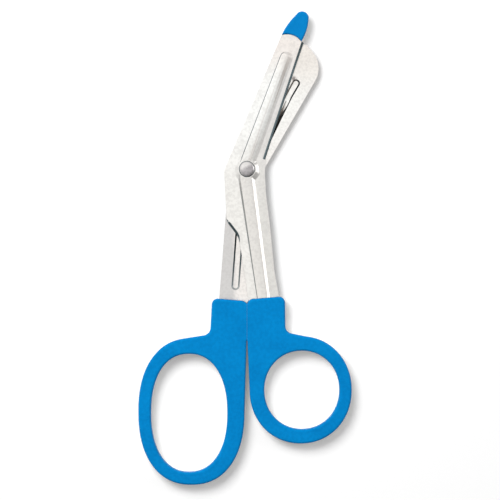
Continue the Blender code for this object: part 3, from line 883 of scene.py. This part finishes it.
bpy.ops.object.mode_set(mode="OBJECT")
bpy.ops.object.shade_smooth_by_angle(angle=RIVET_TURN)
paint(rivet, rivet_steel)
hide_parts("pivot_rivet")
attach(rivet, "back_half")
print("rivet", len(rivet.data.polygons), "faces, head", round(2 * HEAD / MM, 2), "mm across")

# %% [markdown]
# ## The handles and the guard
#
# The handles meet along a seam, which is their closing stop. The CAD model leaves 0.2 mm there so that
# its solids never touch. The real handles nearly do, so each meeting face is pushed towards the other.
#
# Each handle comes out of a mould in two halves, which leaves a fine line round its middle. The walls
# are cut at three heights, and the middle cut is sunk by a hair along the walls' own normals.

# %% Seam and parting line
SEAM_FACE = 0.1 * MM
SEAM_MOVE = 0.07 * MM
PARTING = 3.45 * MM
PARTING_WIDTH = 0.1 * MM
PARTING_DEPTH = 0.06 * MM
ON_PARTING = 0.005 * MM
STEEP = 0.5


def close_seam(piece, side):
    """Moves a handle's meeting face towards the other handle: right with side 1, left with side -1."""
    found = push(piece, lambda vertex: abs(vertex.co.x + side * SEAM_FACE) < NEAR, (side * SEAM_MOVE, 0, 0))
    print(piece.name, "seam vertices", found)


def sink_parting_line(piece):
    for offset in (-PARTING_WIDTH, 0, PARTING_WIDTH):
        cut(piece, lambda face: abs(face.normal.z) < STEEP, (0, 0, PARTING + offset), (0, 0, 1))
    clear_in(piece, "VERT")
    found = select_where(piece.data.vertices, lambda vertex: abs(vertex.co.z - PARTING) < ON_PARTING)
    bpy.ops.object.mode_set(mode="EDIT")
    bpy.ops.transform.shrink_fatten(value=-PARTING_DEPTH)
    bpy.ops.object.mode_set(mode="OBJECT")
    print(piece.name, "parting line vertices", found)


# %% [markdown]
# The guard is small and soft, with no seam or line to be seen on it, so it goes without both. The CAD
# blanks already have rounded edges, and weighted normals make them read as one smooth skin.


# %% Handles and guard
def make_moulding(node_name, piece_name, body, finish, slot_name):
    piece = blank_from(node_name, piece_name)
    if slot_name == "handle_plastic":
        close_seam(piece, 1 if body == "back_half" else -1)
        sink_parting_line(piece)
    take(piece)
    bpy.ops.object.shade_smooth_by_angle(angle=SHARP_TURN)
    add_modifier(piece, "WEIGHTED_NORMAL", keep_sharp=True, weight=60)
    paint(piece, finish)
    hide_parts(node_name)
    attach(piece, body)
    print(piece_name, len(piece.data.polygons), "faces")


make_moulding("finger_handle", "finger_handle_moulding", "back_half", handle_plastic, "handle_plastic")
make_moulding("thumb_handle", "thumb_handle_moulding", "front_half", handle_plastic, "handle_plastic")
make_moulding("tip_guard", "tip_guard_moulding", "front_half", guard_plastic, "guard_plastic")

# %% [markdown]
# ## Table, light and camera
#
# The photograph is taken from straight above on white paper. The floor adds some light of its own for
# the camera, which lifts the paper to white and keeps the shadow.

# %% Floor
PAPER = 0.93
PAPER_GLOW = 0.13
select_none()
bpy.ops.mesh.primitive_plane_add(size=4, location=(0, 0, 0))
floor = bpy.context.object
floor.name = "floor"
paper = Finish("white_paper", Roughness=0.9, Specular_IOR_Level=0.1)
paper.shader.inputs["Base Color"].default_value = (PAPER, PAPER, PAPER, 1)
paper.shader.inputs["Emission Color"].default_value = (1, 1, 1, 1)
paper.give(Emission_Strength=paper.seen_rays() * PAPER_GLOW)
paint(floor, paper)
print("paper", PAPER, "glow", PAPER_GLOW)

# %% [markdown]
# The room is bright overhead, up and to the left, and darker low down and on the near side. Polished
# steel shows the room, so this is what draws the dark lines in it. An even grey would leave it flat.
# What the steel shows and what lights the paper are told apart by the kind of ray, so that the room can
# be bright in the steel and still leave the lamp's shadow dark.

# %% Room
BRIGHT_SIDE = Vector((-0.32, 0.42, 0.85)).normalized()
DIMMEST = 0.07
ROOM_LIGHT = 1.03
PAST_THE_SIDE = 0.12
SOFT_CORNER = 0.1
LOW_BAND = (0.0, 0.22)
LOW_LIGHT = 0.25
ROOM_SHARE = 0.46
world = bpy.data.worlds.new("studio")
bpy.context.scene.world = world
world.use_nodes = True
room = Network(world.node_tree)
direction = room.node("TexCoord", {}, {}, "Generated")
towards = room.vectors("DOT_PRODUCT", direction, BRIGHT_SIDE)
facing = (towards + PAST_THE_SIDE) * ROOM_LIGHT
overhead = DIMMEST + room.maths("SMOOTH_MAX", 0.0, facing, SOFT_CORNER)
low_band = LOW_LIGHT + (1 - LOW_LIGHT) * room.part(direction, "Z").ramp(*LOW_BAND)
room_light = overhead * low_band * (ROOM_SHARE + (1 - ROOM_SHARE) * room.seen_rays())
background = world.node_tree.nodes["Background"]
world.node_tree.links.new(room_light.socket, background.inputs["Strength"])
background.inputs["Color"].default_value = (1, 1, 1, 1)
print("room", len(world.node_tree.nodes), "nodes")

# %% [markdown]
# A large soft lamp stands to the upper left, so the shadow falls to the lower right with a soft edge.
# A small bright card on the right gives the walls that face it their white lines. The steel would
# show the lamp itself as a square, so the lamp is hidden from it.

# %% Lamps
AIM = Vector((0, -0.03, 0))


def lamp(name, place, size, power):
    """A square soft box that faces the scissors."""
    select_none()
    bpy.ops.object.light_add(type="AREA", location=place)
    made = bpy.context.object
    made.name = name
    made.data.size = size
    made.data.energy = power
    made.rotation_euler = (AIM - Vector(place)).to_track_quat("-Z", "Y").to_euler()
    print(name, power, "W, face", size, "m")
    return made


key = lamp("soft_box_left", place=(-0.37, 0.42, 0.83), size=0.5, power=8.2)
key.visible_glossy = False
lamp("bright_card_right", place=(0.72, 0.13, 0.42), size=0.34, power=0.95)

# %% [markdown]
# The camera looks straight down through a long lens from over a metre away, because the photograph
# shows hardly any of the handles' walls.

# %% Camera
OVER_CENTRE = (1.19 * MM, -32 * MM, 1103 * MM)
select_none()
bpy.ops.object.camera_add(location=OVER_CENTRE, rotation=(0, 0, 0))
camera = bpy.context.object
camera.name = "camera_above"
camera.data.lens = 200
camera.data.sensor_width = 36
bpy.context.scene.camera = camera
bpy.context.scene.view_settings.view_transform = "Standard"
print("camera", round(camera.location.z, 3), "m above the paper")
